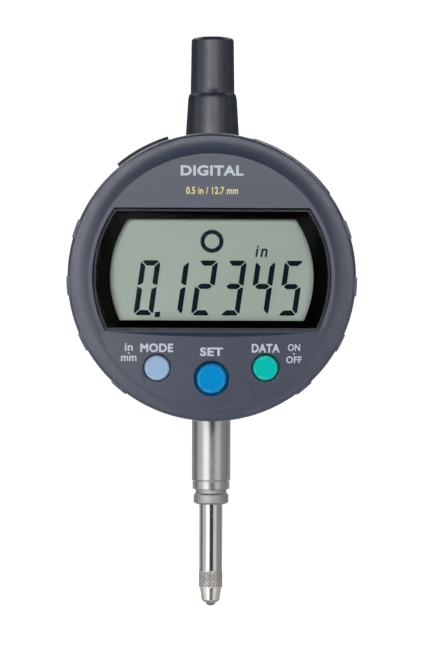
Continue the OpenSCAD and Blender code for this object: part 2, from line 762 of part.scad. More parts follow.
module lcd_glass() color([0.6, 0.64, 0.6]) translate([-glass_x, glass_y0, axis_z - glass_down])
  cube([2 * glass_x, glass_t, glass_up + glass_down]);

module lcd_reflector() color([0.8, 0.8, 0.8])
  translate([-glass_x, glass_y1, axis_z - glass_down + zebra_w + 0.3])
    cube([2 * glass_x, reflector_t, glass_up + glass_down - 2 * zebra_w - 0.6]);

module zebra_strips() color([0.85, 0.5, 0.55])
  for (z = [axis_z - glass_down, axis_z + glass_up - zebra_w]) translate([1 - glass_x, glass_y1, z])
    cube([2 * glass_x - 2, board_y0 - glass_y1, zebra_w]);

module main_board() color([0.1, 0.35, 0.2]) difference() {
  disc(board_r, board_y0, board_y1);
  for (a = post_angles) {
    p = on_circle(post_mid_r, a);
    disc(post_r + 0.4, board_y0 - 1, board_y1 + 1, p[0], p[1]);
  }
  for (p = board_posts) disc(thread_r + 0.1, board_y0 - 1, board_y1 + 1, p[0], p[1]);
}

module board_screws() color([0.65, 0.65, 0.62]) for (p = board_posts)
  pan_screw(p[0], board_y1, axis_z + p[1], 1, 1.3, 0.8, thread_r, board_t + 2.5);

module processor_chip() color([0.08, 0.08, 0.09])
  translate([-12, board_y1, axis_z - 8]) cube([8, 1, 8]);

module board_socket() color([0.85, 0.84, 0.8]) difference() {
  translate([-1.5, board_y1, axis_z - 3]) cube([3, shell_y0 - 3.1 - board_y1, 6]);
  translate([-0.3, board_y1 + 1, axis_z - 2.3]) cube([0.6, 10, 4.6]);
}

module dome_switches() color([0.75, 0.75, 0.75]) for (b = button_specs) {
  disc(dome_r, board_y0 - dome_t / 2, board_y0, b[0], b[1]);
  taper_disc(dome_r * 0.5, dome_r * 0.85, board_y0 - dome_t, board_y0 - dome_t / 2, b[0], b[1]);
}

module battery_cell() color([0.78, 0.78, 0.76]) {
  p = on_circle(cell_mid_r, cell_angle);
  y0 = board_y1 + contact_t;
  disc(cell_r, y0 + 1, y0 + cell_t, p[0], p[1]);
  disc(cell_r - 1.2, y0, y0 + 1, p[0], p[1]);
}

module battery_contacts() color([0.8, 0.75, 0.6]) {
  p = on_circle(cell_mid_r, cell_angle);
  disc(cell_r * 0.4, board_y1, board_y1 + contact_t, p[0], p[1]);
  disc(cell_r * 0.7, shell_y0 - contact_t, shell_y0, p[0], p[1]);
}

module cover_pad(angle, half, proud, y0, y1) difference() {
  rim_block(angle, half, inner_r, rim_r + proud, y0, y1);
  rim_block(angle, half - 3, inner_r - 1, rim_r - 0.4, y0 + 1, y1 - 1);
}

module battery_cap() color([0.09, 0.09, 0.1])
  cover_pad(cell_angle, cell_cap_half, cell_cap_proud, board_y1, shell_y0 - 0.4);

module connector_cover() color([0.07, 0.07, 0.08])
  cover_pad(plug_angle, plug_half, plug_proud, plug_y0, plug_y1);

module data_connector() color([0.1, 0.1, 0.1]) translate([0, 0, axis_z]) rotate([0, plug_angle, 0])
  difference() {
    translate([-plug_w / 2, board_y1, plug_face - plug_l]) cube([plug_w, plug_h, plug_l]);
    translate([-plug_w / 2 + plug_wall, board_y1 + plug_wall, plug_face - plug_socket_l])
      cube([plug_w - 2 * plug_wall, plug_h - 2 * plug_wall, plug_socket_l + 1]);
  }

module connector_pins() color([0.8, 0.65, 0.3]) translate([0, 0, axis_z]) rotate([0, plug_angle, 0])
  for (k = [-2 : 2]) translate([k * 1.2 - 0.2, board_y1 + plug_h / 2 - 0.2, plug_face - plug_socket_l])
    cube([0.4, 0.4, 3]);

// A button: crowned face, guided body, flange behind the wall, plunger over its dome
module button(b) {
  edge = 0.35;
  r = b[2] / 2;
  y_back = wall_y + 0.1;
  taper_disc(r - edge, r, button_y, button_y + edge, b[0], b[1]);
  disc(r, button_y + edge, y_back + eps, b[0], b[1]);
  disc(r + b[3] + flange_extra, y_back, y_back + flange_t, b[0], b[1]);
  disc(plunger_r, y_back + flange_t - eps, plunger_y, b[0], b[1]);
}

module mode_button() color([0.6, 0.71, 0.82]) button(mode_spec);

module set_button() color([0.02, 0.55, 0.8]) button(set_spec);

module data_button() color([0.02, 0.7, 0.66]) button(data_spec);

main_case();
stem();
lower_bush();
upper_bush();
rest_bumper();
thrust_washer();
stop_pin();
detector_board();
detector_chip();
detector_screws();
guide_plate();
guide_screws();
ribbon_cable();
case_gasket();
back_cover();
cover_screws();
return_spring();
spindle();
contact_point();
contact_ball();
scale_carrier();
linear_scale();
guide_pin();
carrier_screws();
dust_cap();
front_housing();
rear_shell();
hub_ring();
hub_screws();
hub_o_ring();
housing_screws();
window_lens();
window_mask();
lcd_frame();
lcd_glass();
lcd_reflector();
zebra_strips();
main_board();
board_screws();
processor_chip();
board_socket();
dome_switches();
battery_cell();
battery_contacts();
battery_cap();
data_connector();
connector_pins();
connector_cover();
mode_button();
set_button();
data_button();
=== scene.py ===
"""Looks of the electronic plunger indicator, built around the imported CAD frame.

Metres, +Z up, the display faces -Y, the spindle runs along Z through the origin. Sizes are written in
millimetres and multiplied by MM. Places come from the frame's boxes wherever a node gives them.
"""

import json
import math

import bmesh
import bpy
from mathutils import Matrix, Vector


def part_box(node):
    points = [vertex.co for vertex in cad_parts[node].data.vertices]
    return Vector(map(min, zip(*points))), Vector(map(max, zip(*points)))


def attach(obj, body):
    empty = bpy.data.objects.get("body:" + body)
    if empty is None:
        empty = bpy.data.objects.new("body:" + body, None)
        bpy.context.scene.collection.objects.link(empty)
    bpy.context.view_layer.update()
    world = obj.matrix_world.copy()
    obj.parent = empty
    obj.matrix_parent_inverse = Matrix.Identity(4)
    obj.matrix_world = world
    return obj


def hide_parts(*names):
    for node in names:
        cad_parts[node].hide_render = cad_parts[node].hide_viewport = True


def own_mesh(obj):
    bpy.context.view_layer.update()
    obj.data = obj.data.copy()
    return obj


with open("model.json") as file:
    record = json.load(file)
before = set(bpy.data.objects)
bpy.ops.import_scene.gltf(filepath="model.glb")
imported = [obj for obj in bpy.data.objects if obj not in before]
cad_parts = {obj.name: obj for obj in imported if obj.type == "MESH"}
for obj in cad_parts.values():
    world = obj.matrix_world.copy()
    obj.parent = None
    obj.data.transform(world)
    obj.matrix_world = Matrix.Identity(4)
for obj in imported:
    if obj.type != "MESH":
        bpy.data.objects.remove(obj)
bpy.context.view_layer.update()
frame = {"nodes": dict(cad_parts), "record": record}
NODES = frame["nodes"]
RECORD = frame["record"]
SCENE = bpy.context.scene
MM = 0.001
NOISE_SPAN = (0.3, 0.7)

# ---- places read from the frame ------------------------------------------------------------------


def low(node):
    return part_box(node)[0]


def high(node):
    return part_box(node)[1]


JOINTS = {joint["name"]: joint for joint in RECORD["behaviour"]["joints"]}
AXIS_Z = JOINTS["display_turn"]["pos_m"][2]
SEAM_Z = low("spindle").z
TIP_Z = low("contact_ball").z
BALL_R = (high("contact_ball").z - TIP_Z) / 2

# ---- shader helpers ------------------------------------------------------------------------------


def add(tree, kind, inputs=None, **settings):
    """Adds a shader node. inputs maps a socket to a value, or to the output that feeds it."""
    node = tree.nodes.new("ShaderNode" + kind)
    for name, value in settings.items():
        setattr(node, name, value)
    for name, value in (inputs or {}).items():
        if isinstance(value, bpy.types.NodeSocket):
            tree.links.new(value, node.inputs[name])
        else:
            node.inputs[name].default_value = value
    return node


def new_material(name, colour, roughness, metallic=0.0):
    material = bpy.data.materials.new(name)
    material.use_nodes = True
    material.diffuse_color = (*colour, 1)
    tree = material.node_tree
    shader = tree.nodes["Principled BSDF"]
    shader.inputs["Base Color"].default_value = (*colour, 1)
    shader.inputs["Roughness"].default_value = roughness
    shader.inputs["Metallic"].default_value = metallic
    return material, tree, shader


def in_mm(tree, stretch=(1, 1, 1)):
    """The piece's own coordinates in millimetres, each axis multiplied by stretch."""
    place = add(tree, "TexCoord").outputs["Object"]
    return add(tree, "Mapping", {"Vector": place, "Scale": [s / MM for s in stretch]}).outputs["Vector"]


def noise(tree, where, scale, detail=2.0, rough=0.5):
    """Noise from 0 to 1 with scale features to the millimetre."""
    inputs = {"Vector": where, "Scale": scale, "Detail": detail, "Roughness": rough}
    return add(tree, "TexNoise", inputs).outputs["Fac"]


def remap(tree, value, low_in, high_in, low_out, high_out):
    inputs = {"Value": value, "From Min": low_in, "From Max": high_in, "To Min": low_out, "To Max": high_out}
    return add(tree, "MapRange", inputs).outputs["Result"]


def spread(tree, value, low_out, high_out):
    """Stretches the span that a noise mostly keeps to over low_out to high_out."""
    return remap(tree, value, *NOISE_SPAN, low_out, high_out)


def maths(tree, operation, a, b):
    return add(tree, "Math", {0: a, 1: b}, operation=operation).outputs[0]


def blend(tree, factor, a, b):
    """Mixes two colours. Each may be a colour or an output."""
    node = add(tree, "Mix", data_type="RGBA")
    for socket, value in ((node.inputs[0], factor), (node.inputs[6], a), (node.inputs[7], b)):
        if isinstance(value, bpy.types.NodeSocket):
            tree.links.new(value, socket)
        elif isinstance(value, float):
            socket.default_value = value
        else:
            socket.default_value = (*value[:3], 1)
    return node.outputs[2]


def scaled(colour, factor):
    return tuple(min(1.0, c * factor) for c in colour)


def bump(tree, shader, height, depth, strength=1.0):
    """Raises the surface by height times depth, in millimetres."""
    inputs = {"Height": height, "Distance": depth * MM, "Strength": strength}
    tree.links.new(add(tree, "Bump", inputs).outputs["Normal"], shader.inputs["Normal"])


def edge_mask(tree, radius, broken_by):
    """1 on the crests of edges, broken up by a noise: where hands and tools rub a part."""
    rounded = add(tree, "Bevel", {"Radius": radius * MM}, samples=4).outputs["Normal"]
    true = add(tree, "NewGeometry").outputs["Normal"]
    same = add(tree, "VectorMath", {0: rounded, 1: true}, operation="DOT_PRODUCT").outputs["Value"]
    edge = remap(tree, same, 0.995, 0.9, 0.0, 1.0)
    return maths(tree, "MULTIPLY", edge, remap(tree, broken_by, 0.42, 0.62, 0.0, 1.0))


# ---- materials -----------------------------------------------------------------------------------


def plastic(name, colour, roughness=0.42, grain=0.012, mottle=0.1, wear=0.5, mirror=0.5):
    """Moulded plastic with a spark-eroded grain, faint flow marks, and edges rubbed a little lighter."""
    material, tree, shader = new_material(name, colour, roughness)
    shader.inputs["Specular IOR Level"].default_value = mirror
    where = in_mm(tree)
    flow = noise(tree, where, 0.09, 3.0, 0.55)
    handling = noise(tree, where, 0.45, 5.0, 0.65)
    fine = noise(tree, where, 5.5, 2.0, 0.6)
    pits = add(tree, "TexVoronoi", {"Vector": where, "Scale": 3.6}, feature="SMOOTH_F1").outputs["Distance"]
    base = blend(tree, flow, scaled(colour, 1 - mottle), scaled(colour, 1 + mottle))
    worn = maths(tree, "MULTIPLY", edge_mask(tree, 0.3, handling), wear)
    tree.links.new(blend(tree, worn, base, scaled(colour, 2.2)), shader.inputs["Base Color"])
    rough = maths(tree, "ADD", spread(tree, handling, -0.05, 0.06), roughness)
    polish = maths(tree, "MULTIPLY", worn, 0.12)
    tree.links.new(maths(tree, "SUBTRACT", rough, polish), shader.inputs["Roughness"])
    bump(tree, shader, maths(tree, "ADD", fine, maths(tree, "MULTIPLY", pits, 0.6)), grain)
    return material


def metal(name, colour, roughness=0.2, lines=(0.3, 0.3, 7.0), depth=0.0006, stain=0.08, wear=0.3,
          matt_below=None):
    """Metal with the tool marks of its making: lines gives how often they repeat along each axis.

    Below the height matt_below, in millimetres, the surface is turned and left matt instead of ground.
    """
    material, tree, shader = new_material(name, colour, roughness, 1.0)
    marks = noise(tree, in_mm(tree, lines), 1.0, 4.0, 0.6)
    where = in_mm(tree)
    cloud = noise(tree, where, 0.3, 4.0, 0.6)
    base = blend(tree, cloud, scaled(colour, 1 - stain), scaled(colour, 1 + stain))
    rubbed = maths(tree, "MULTIPLY", edge_mask(tree, 0.15, cloud), wear)
    tree.links.new(blend(tree, rubbed, base, scaled(colour, 1.25)), shader.inputs["Base Color"])
    rough = maths(tree, "ADD", spread(tree, marks, -0.05, 0.07), roughness)
    if matt_below is not None:
        height = add(tree, "SeparateXYZ", {0: where}).outputs["Z"]
        rough = maths(tree, "ADD", rough, remap(tree, height, matt_below, matt_below - 0.1, 0.0, 0.24))
    tree.links.new(rough, shader.inputs["Roughness"])
    bump(tree, shader, marks, depth)
    return material


def rubber(name, colour, roughness=0.62):
    """Elastomer: matt, softly mottled, with a dusty bloom."""
    material, tree, shader = new_material(name, colour, roughness)
    where = in_mm(tree)
    bloom = noise(tree, where, 0.6, 5.0, 0.7)
    tree.links.new(blend(tree, bloom, colour, scaled(colour, 1.9)), shader.inputs["Base Color"])
    tree.links.new(spread(tree, bloom, roughness - 0.08, roughness + 0.12), shader.inputs["Roughness"])
    bump(tree, shader, noise(tree, where, 4.0, 3.0, 0.6), 0.01)
    return material


def button_plastic(name, colour):
    """Smooth moulded button: a fine silk texture, a slightly brighter rubbed edge, no visible grain."""
    material, tree, shader = new_material(name, colour, 0.36)
    shader.inputs["Specular IOR Level"].default_value = 0.03
    where = in_mm(tree)
    cloud = noise(tree, where, 0.7, 4.0, 0.6)
    base = blend(tree, cloud, scaled(colour, 0.93), scaled(colour, 1.06))
    rubbed = [c * 0.6 + 0.32 for c in colour]
    tree.links.new(blend(tree, edge_mask(tree, 0.35, cloud), base, rubbed), shader.inputs["Base Color"])
    tree.links.new(spread(tree, cloud, 0.3, 0.42), shader.inputs["Roughness"])
    bump(tree, shader, noise(tree, where, 9.0, 2.0, 0.5), 0.003)
    return material


def board_material(name, colour):
    """Circuit board: green mask with raised copper tracks under it, and small gold pads."""
    material, tree, shader = new_material(name, colour, 0.35)
    where = in_mm(tree)
    upright = add(tree, "Mapping", {"Vector": where, "Rotation": (math.pi / 2, 0, 0)}).outputs[0]
    bricks = {"Vector": upright, "Scale": 0.45, "Mortar Size": 0.018, "Mortar Smooth": 0.1,
              "Brick Width": 1.7, "Row Height": 0.42,
              "Color1": (0, 0, 0, 1), "Color2": (0, 0, 0, 1), "Mortar": (1, 1, 1, 1)}
    track = add(tree, "TexBrick", bricks).outputs["Color"]
    cells = add(tree, "TexVoronoi", {"Vector": where, "Scale": 0.42, "Randomness": 0.55}).outputs["Distance"]
    pad = remap(tree, cells, 0.16, 0.13, 0.0, 1.0)
    masked = blend(tree, track, colour, scaled(colour, 1.9))
    tree.links.new(blend(tree, pad, masked, (0.72, 0.52, 0.2)), shader.inputs["Base Color"])
    tree.links.new(maths(tree, "MULTIPLY", pad, 0.9), shader.inputs["Metallic"])
    tree.links.new(spread(tree, noise(tree, where, 0.8, 4.0), 0.28, 0.42), shader.inputs["Roughness"])
    bump(tree, shader, maths(tree, "ADD", track, pad), 0.03)
    return material


def scale_material(name, colour):
    """The capacitive scale: bright metal bars etched across a dark strip."""
    material, tree, shader = new_material(name, colour, 0.3)
    where = in_mm(tree)
    waves = {"Vector": where, "Scale": 0.62, "Distortion": 0.0}
    bars = add(tree, "TexWave", waves, bands_direction="Z").outputs["Fac"]
    bar = remap(tree, bars, 0.45, 0.55, 0.0, 1.0)
    tree.links.new(blend(tree, bar, (0.05, 0.06, 0.05), colour), shader.inputs["Base Color"])
    tree.links.new(maths(tree, "MULTIPLY", bar, 0.9), shader.inputs["Metallic"])
    tree.links.new(spread(tree, noise(tree, where, 1.5, 4.0), 0.22, 0.4), shader.inputs["Roughness"])
    bump(tree, shader, bar, 0.02)
    return material


def window_material(name):
    """Clear acrylic: what lies behind shows through, and the surface mirrors more the flatter it is seen."""
    material, tree, shader = new_material(name, (0.002, 0.0022, 0.0022), 0.06)
    smear = noise(tree, in_mm(tree, (1, 1, 0.5)), 0.25, 5.0, 0.6)
    tree.links.new(remap(tree, smear, 0.35, 0.7, 0.01, 0.04), shader.inputs["Roughness"])
    shader.inputs["IOR"].default_value = 1.49
    clear = add(tree, "BsdfTransparent", {"Color": (0.97, 0.985, 0.98, 1)}).outputs[0]
    share = add(tree, "Fresnel", {"IOR": 1.49}).outputs[0]
    mixed = add(tree, "MixShader", {0: maths(tree, "ADD", share, 0.01), 1: clear, 2: shader.outputs[0]})
    tree.links.new(mixed.outputs[0], tree.nodes["Material Output"].inputs["Surface"])
    return material


def display_material(name, colour):
    """The display's face: grey-green, with a fine dark speckle and a faint mottle."""
    material, tree, shader = new_material(name, colour, 0.32)
    shader.inputs["Specular IOR Level"].default_value = 0.15
    where = in_mm(tree)
    mottle = noise(tree, where, 0.16, 3.0, 0.5)
    speckle = noise(tree, where, 9.0, 2.0, 0.6)
    base = blend(tree, mottle, scaled(colour, 0.95), scaled(colour, 1.04))
    grained = blend(tree, remap(tree, speckle, 0.35, 0.65, 0.0, 0.25), base, scaled(colour, 0.86))
    tree.links.new(grained, shader.inputs["Base Color"])
    tree.links.new(spread(tree, speckle, 0.26, 0.38), shader.inputs["Roughness"])
    bump(tree, shader, speckle, 0.002)
    return material


def ink(name, colour, roughness=0.5, mirror=0.5):
    """Printed ink: a thin film with a slightly uneven lay-down. mirror is how much its surface reflects."""
    material, tree, shader = new_material(name, colour, roughness)
    shader.inputs["Specular IOR Level"].default_value = mirror
    where = in_mm(tree)
    coverage = noise(tree, where, 6.0, 3.0, 0.6)
    tree.links.new(blend(tree, coverage, scaled(colour, 0.9), scaled(colour, 1.08)),
                   shader.inputs["Base Color"])
    tree.links.new(spread(tree, coverage, roughness - 0.08, roughness + 0.08), shader.inputs["Roughness"])
    bump(tree, shader, coverage, 0.002)
    return material


TURNED = (0.03, 0.03, 6.0)
STEP_Z = low("stem").z / MM  # the ground part of the stem ends here
COLOURS = {m["slot"]: tuple(m["base_color"][:3]) for m in RECORD["materials"]}
MAKERS = {
    "case_plastic": lambda n, c: plastic(n, (0.011, 0.015, 0.026), 0.31, 0.01, 0.12, 0.35, 0.6),
    "face_plastic": lambda n, c: plastic(n, (0.031, 0.038, 0.065), 0.4, 0.012, 0.07, 0.35, 0.72),
    "stem_steel": lambda n, c: metal(n, (0.38, 0.372, 0.367), 0.3, TURNED, 0.0006, 0.06, 0.3, STEP_Z),
    "spindle_steel": lambda n, c: metal(n, (0.43, 0.426, 0.418), 0.15, (0.03, 0.03, 3.0), 0.0003, 0.05),
    "point_steel": lambda n, c: metal(n, (0.6, 0.572, 0.535), 0.24, TURNED, 0.0006, 0.12),
    "carbide": lambda n, c: metal(n, c, 0.1, (2.0, 2.0, 2.0), 0.0002, 0.05),
    "bronze": lambda n, c: metal(n, c, 0.38, (6.0, 6.0, 6.0), 0.004, 0.2),
    "plate_steel": lambda n, c: metal(n, c, 0.32, (5.0, 0.4, 0.4), 0.001),
    "screw_steel": lambda n, c: metal(n, c, 0.26, (4.0, 4.0, 4.0), 0.001, 0.12),
    "spring_steel": lambda n, c: metal(n, c, 0.28, (3.0, 3.0, 3.0), 0.001),
    "carrier_alloy": lambda n, c: metal(n, c, 0.34, (0.4, 0.4, 5.0), 0.0015),
    "scale_coat": scale_material,
    "board_green": board_material,
    "chip_black": lambda n, c: plastic(n, c, 0.5, 0.01, 0.15, 0.2),
    "socket_cream": lambda n, c: plastic(n, c, 0.45, 0.006, 0.05, 0.1),
    "ribbon_film": lambda n, c: plastic(n, c, 0.3, 0.003, 0.15, 0.1),
    "seal_rubber": rubber,
    "washer_nylon": lambda n, c: plastic(n, c, 0.5, 0.006, 0.05, 0.1),
    "window_clear": lambda n, c: window_material(n),
    "mask_black": lambda n, c: ink(n, (0.0006, 0.0006, 0.0006), 0.5, 0.005),
    "lcd_face": lambda n, c: display_material(n, (0.62, 0.68, 0.6)),
    "reflector_film": lambda n, c: ink(n, c, 0.45),
    "zebra_rubber": rubber,
    "cell_steel": lambda n, c: metal(n, c, 0.2, (3.0, 0.3, 3.0), 0.001, 0.06),
    "contact_metal": lambda n, c: metal(n, c, 0.24, (3.0, 3.0, 3.0), 0.001),
    "cover_black": lambda n, c: plastic(n, (0.007, 0.007, 0.008), 0.48, 0.012, 0.2, 0.1, 0.4),
    "mode_blue": lambda n, c: button_plastic(n, (0.28, 0.4, 0.57)),
    "set_blue": lambda n, c: button_plastic(n, (0.0005, 0.215, 0.51)),
    "data_green": lambda n, c: button_plastic(n, (0.001, 0.42, 0.365)),
}
MATERIALS = {slot: MAKERS[slot](slot, COLOURS[slot]) for slot in COLOURS}
LABEL_INK = ink("label_ink", (0.44, 0.475, 0.54))
GOLD_INK = ink("gold_ink", (0.62, 0.55, 0.24))
SEGMENT_INK = ink("segment_ink", (0.004, 0.008, 0.018), 0.5, 0.08)

for subpart in RECORD["subparts"]:
    for slot in NODES[subpart["node"]].material_slots:
        slot.material = MATERIALS[subpart["material_slot"]]

# ---- small edge roundings on the CAD nodes -------------------------------------------------------

EDGE_MM = {
    "main_case": 0.2, "back_cover": 0.3, "rear_shell": 0.15, "front_housing": 0.1, "stem": 0.15,
    "dust_cap": 0.08, "battery_cap": 0.15, "connector_cover": 0.2, "mode_button": 0.12,
    "set_button": 0.12, "data_button": 0.12, "cover_screws": 0.08,
}
EDGE_ANGLE = math.radians(32)  # only edges steeper than this are rounded


def round_edges(node, width):
    """Joins the mesh's split corners, then rounds its edges with real faces."""
    piece = NODES[node]
    weld = piece.modifiers.new("weld", "WELD")
    weld.merge_threshold = 0.002 * MM
    bevel = piece.modifiers.new("round", "BEVEL")
    bevel.width = width * MM
    bevel.segments = 2
    bevel.limit_method = "ANGLE"
    bevel.angle_limit = EDGE_ANGLE
    shading = piece.modifiers.new("shading", "WEIGHTED_NORMAL")
    shading.mode = "FACE_AREA_WITH_ANGLE"


for node, width in EDGE_MM.items():
    round_edges(node, width)

# ---- mesh helpers --------------------------------------------------------------------------------


def object_from(bm, name, material, smooth=False):
    """Turns a bmesh into an object in the scene."""
    mesh = bpy.data.meshes.new(name)
    bm.to_mesh(mesh)
    bm.free()
    mesh.polygons.foreach_set("use_smooth", [smooth] * len(mesh.polygons))
    mesh.materials.append(material)
    made = bpy.data.objects.new(name, mesh)
    SCENE.collection.objects.link(made)
    return made


def piece_from(bm, name, body, slot, material=None, smooth=True):
    """Turns a bmesh into a piece that rides on a body and takes its finish from a slot."""
    bmesh.ops.recalc_face_normals(bm, faces=bm.faces)
    piece = object_from(bm, name, material or MATERIALS[slot], smooth)
    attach(piece, body)
    return piece


def loft(bm, rings, fold=None):
    """Joins rings of equally many points, and caps the first and the last.

    fold takes a row and a column, and says how that face folds: "up", "down", or None for a flat one.
    """
    rows = [[bm.verts.new(p) for p in ring] for ring in rings]
    count = len(rows[0])
    for row, (a, b) in enumerate(zip(rows, rows[1:])):
        for i in range(count):
            j = (i + 1) % count
            way = fold(row, i) if fold else None
            if way == "up":
                bm.faces.new((a[i], a[j], b[j]))
                bm.faces.new((a[i], b[j], b[i]))
            elif way == "down":
                bm.faces.new((a[i], a[j], b[i]))
                bm.faces.new((a[j], b[j], b[i]))
            else:
                bm.faces.new((a[i], a[j], b[j], b[i]))
    bm.faces.new(rows[0])
    bm.faces.new(rows[-1])


def sharpen(piece, degrees=35):
    """Keeps edges steeper than this crisp."""
    bm = bmesh.new()
    bm.from_mesh(piece.data)
    for edge in bm.edges:
        if len(edge.link_faces) == 2:
            edge.smooth = edge.calc_face_angle(0.0) < math.radians(degrees)
    bm.to_mesh(piece.data)
    bm.free()


# ---- window --------------------------------------------------------------------------------------

ARC_STEPS, LINE_STEPS = 48, 24


def cut_circle(radius, up, down, y):
    """A circle about the display axis, cut off straight above and below. Always equally many points."""
    top, bottom = math.asin(up / radius), math.asin(-down / radius)
    points = []
    for side in (1, -1):
        start, stop = (bottom, top) if side > 0 else (top, bottom)
        for i in range(ARC_STEPS + 1):
            angle = start + (stop - start) * i / ARC_STEPS
            points.append(Vector((side * radius * math.cos(angle), y, AXIS_Z + radius * math.sin(angle))))
        ends = (radius * math.cos(top), up) if side > 0 else (radius * math.cos(bottom), -down)
        for i in range(1, LINE_STEPS):
            points.append(Vector((side * ends[0] * (1 - 2 * i / LINE_STEPS), y, AXIS_Z + ends[1])))
    return points


def make_window():
    front, back = low("window_lens").y, high("window_lens").y
    radius = high("window_lens").x
    up, down = high("window_lens").z - AXIS_Z, AXIS_Z - low("window_lens").z
    bevel = [(0.0, 0.35), (0.05, 0.28), (0.3, 0.03), (0.36, 0.0)]  # inset and depth, in millimetres
    steps = [(0.0, back)] + [(inset * MM, front + depth * MM) for inset, depth in bevel]
    bm = bmesh.new()
    loft(bm, [cut_circle(radius - inset, up - inset, down - inset, y) for inset, y in steps])
    window = piece_from(bm, "window", "display", "window_clear")
    sharpen(window, 30)
    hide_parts("window_lens")


make_window()

# ---- contact point with its diamond knurl --------------------------------------------------------

KNURL_R = high("contact_point").x
KNURL_DEPTH = 0.13 * MM
KNURL_PITCHES = 20  # diamonds round the point
KNURL_STEPS = 8  # mesh steps to a pitch, a multiple of 4 so that every crest lies on an edge
KNURL_SHARE = 0.48  # how much of the point's length is knurled
CONE_SHARE = 0.2  # how far up the point the cone starts
LIP = 0.06 * MM  # wall of the rim that holds the ball
LIP_SWELL = 1.32  # the lip's radius against the ball's, where the cone starts
STUD_R = 1.25 * MM


def knurl_height(turn, rise):
    """Depth below the crests at a place given in pitches round and along: two crossing sets of grooves."""
    def groove(t):
        return abs((t % 1.0) - 0.5) * 2
    return 1 - min(groove(turn + rise), groove(turn - rise))


def make_contact_point():
    length = SEAM_Z - TIP_Z
    knurl_low = SEAM_Z - KNURL_SHARE * length
    cone_low = TIP_Z + CONE_SHARE * length
    columns = KNURL_PITCHES * KNURL_STEPS
    pitch = 2 * math.pi * KNURL_R / KNURL_PITCHES
    shoulder = 0.12 * MM

    def ring(radius, z):
        return [Vector((radius * math.cos(a), radius * math.sin(a), z))
                for a in (2 * math.pi * i / columns for i in range(columns))]

    def knurled(z):
        points = []
        fade = min(1.0, (SEAM_Z - z) / shoulder / 2, (z - knurl_low) / shoulder / 2)
        for i in range(columns):
            angle = 2 * math.pi * i / columns
            depth = KNURL_DEPTH * knurl_height(i / KNURL_STEPS, (z - knurl_low) / pitch)
            radius = KNURL_R - shoulder * (1 - fade) - depth * fade
            points.append(Vector((radius * math.cos(angle), radius * math.sin(angle), z)))
        return points

    ball_z = TIP_Z + BALL_R
    grip = math.radians(62)  # how far up the ball, from its lowest point, the point's rim holds it
    rim_r, rim_z = BALL_R * math.sin(grip), ball_z - BALL_R * math.cos(grip)
    rings = [ring(BALL_R * math.sin(a) + 0.005 * MM, ball_z - BALL_R * math.cos(a))
             for a in (math.radians(d) for d in (150, 120, 90, 75))]
    rings += [ring(rim_r, rim_z), ring(rim_r + LIP, rim_z - 0.01 * MM)]
    lip_r, top_r = LIP_SWELL * BALL_R, KNURL_R - shoulder * 1.2
    for i in range(1, 9):  # the lip swells out to the cone, and the cone runs up to the knurl
        t = i / 8
        rings.append(ring(rim_r + LIP + (lip_r - rim_r - LIP) * math.sin(t * math.pi / 2) ** 0.8,
                          rim_z + (cone_low - rim_z) * t ** 1.15))
    rings += [ring(lip_r + (top_r - lip_r) * i / 6, cone_low + (knurl_low - cone_low) * i / 6)
              for i in range(1, 7)]
    first = len(rings)
    rows = int((SEAM_Z - knurl_low) / pitch * KNURL_STEPS)
    rings += [knurled(knurl_low + pitch * i / KNURL_STEPS) for i in range(rows + 1)]
    rings += [ring(STUD_R, SEAM_Z), ring(STUD_R, high("contact_point").z - 0.2 * MM),
              ring(STUD_R - 0.2 * MM, high("contact_point").z)]

    def fold(row, i):  # along the grooves, which run both ways across the grid
        up = row - first
        if not 0 <= up < rows:
            return None
        half = KNURL_STEPS // 2
        return "up" if (i - up) % half == 0 else "down"

    bm = bmesh.new()
    loft(bm, rings, fold)
    point = piece_from(bm, "knurled_point", "spindle", "point_steel")
    sharpen(point, 24)
    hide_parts("contact_point")


make_contact_point()

# ---- return spring -------------------------------------------------------------------------------

WIRE_R = 0.25 * MM
SPRING_TURNS = 11


def make_spring():
    """A round wire on a helix with close end turns."""
    bottom, top = low("return_spring").z + WIRE_R, high("return_spring").z - WIRE_R
    mean_r = high("return_spring").x - WIRE_R
    end_pitch = 2 * WIRE_R
    free_pitch = (top - bottom - 2 * end_pitch) / (SPRING_TURNS - 2)
    per_turn, sides = 32, 12

    def centre(t):
        a = 2 * math.pi * t
        low_turns, high_turns = min(t, 1), max(t - SPRING_TURNS + 1, 0)
        z = bottom + end_pitch * (low_turns + high_turns) + free_pitch * (t - low_turns - high_turns)
        return Vector((mean_r * math.cos(a), mean_r * math.sin(a), z))

    rings = []
    for i in range(SPRING_TURNS * per_turn + 1):
        t = i / per_turn
        out = Vector((math.cos(2 * math.pi * t), math.sin(2 * math.pi * t), 0))
        rings.append([centre(t) + WIRE_R * (out * math.cos(b) + Vector((0, 0, 1)) * math.sin(b))
                      for b in (2 * math.pi * k / sides for k in range(sides))])
    bm = bmesh.new()
    loft(bm, rings)
    spring = piece_from(bm, "wire_spring", "case", "spring_steel")
    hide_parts("return_spring")
    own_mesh(spring)


make_spring()

# ---- display: seven-segment figures and signs ----------------------------------------------------

